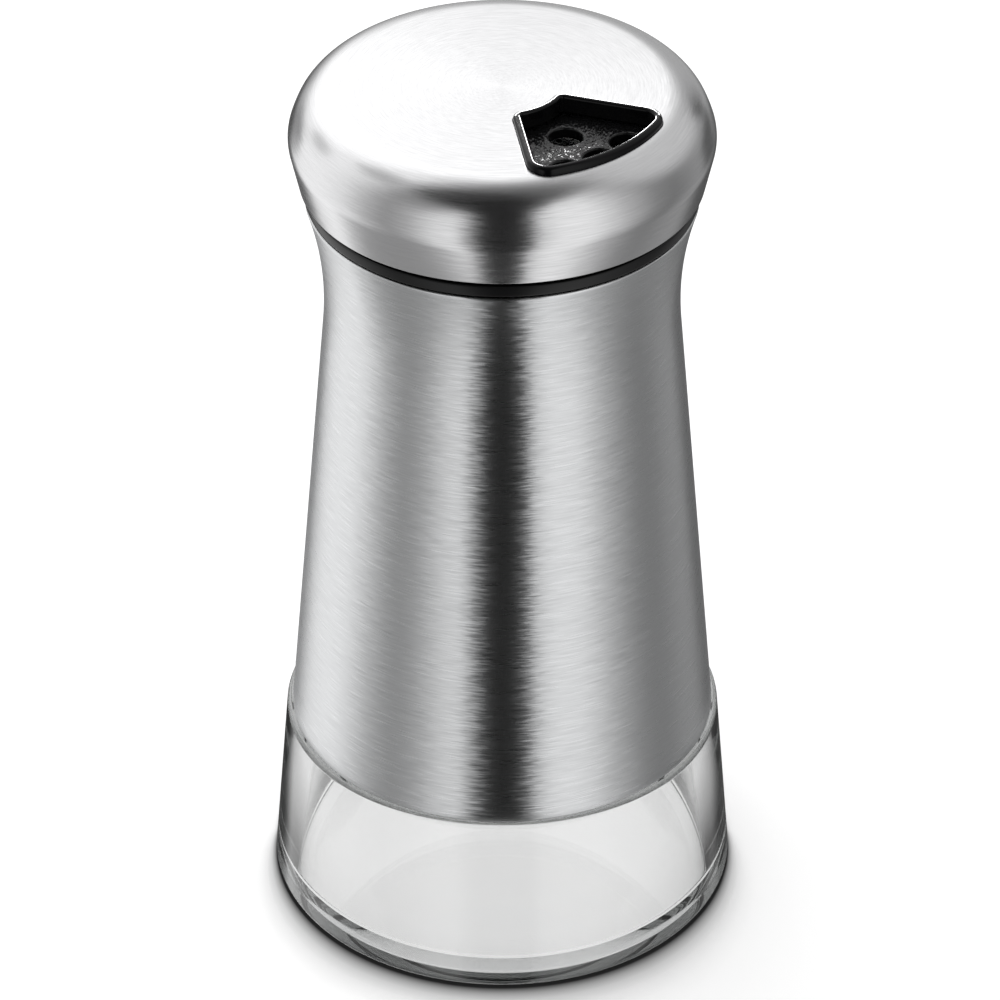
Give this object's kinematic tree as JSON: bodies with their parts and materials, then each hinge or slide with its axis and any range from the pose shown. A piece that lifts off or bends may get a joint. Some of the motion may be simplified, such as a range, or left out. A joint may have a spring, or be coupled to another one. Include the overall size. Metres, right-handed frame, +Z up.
{
  "type": "spice shaker with turning selector lid",
  "caption": "Tapered glass spice shaker in a flared brushed steel sleeve, with a screw-on sifter base and a steel cap that turns to choose the opening.",
  "frame": {"origin": "centre of the ring that the jar stands on, at the level of the surface under it", "axes": "+Z up along the axis of the shaker; the window in the cap faces -Y at rest"},
  "size_m": [0.0634, 0.0634, 0.1242],
  "materials": {
    "clear_glass": "clear, pressed and fire polished",
    "brushed_sleeve_steel": "brushed round the axis",
    "brushed_cap_steel": "spun and brushed in circles",
    "clear_adhesive": "cured clear adhesive",
    "silicone": "translucent, matt",
    "black_base_plastic": "semi-gloss with a fine spark-eroded disc",
    "black_selector_plastic": "glossy lip, smooth walls",
    "plated_steel": "bright zinc plate",
    "spring_steel": "plain ground"
  },
  "bodies": {
    "jar": {"glass_jar": "clear_glass", "body_sleeve": "brushed_sleeve_steel", "lower_adhesive_band": "clear_adhesive", "upper_adhesive_band": "clear_adhesive"},
    "seal": {"jar_seal": "silicone"},
    "base": {"sifter_base": "black_base_plastic"},
    "cap": {"selector": "black_selector_plastic", "steel_cap": "brushed_cap_steel", "spindle_screw": "plated_steel", "spindle_washer": "plated_steel", "disc_spring": "spring_steel"}
  },
  "joints": [
    {"name": "lid_rise", "type": "slide", "parent": "jar", "child": "seal", "axis": [0, 0, 1], "range_m": [0, 0.0252]},
    {"name": "lid_unscrew", "type": "hinge", "parent": "seal", "child": "base", "pos_m": [0, 0, 0.11], "axis": [0, 0, 1], "range_deg": [0, 2160]},
    {"name": "selector_turn", "type": "hinge", "parent": "base", "child": "cap", "pos_m": [0, 0, 0.118], "axis": [0, 0, 1], "continuous": true}
  ],
  "couplings": [
    {"joint": "lid_rise", "follows": "lid_unscrew", "m_per_rad": 0.00066845}
  ]
}
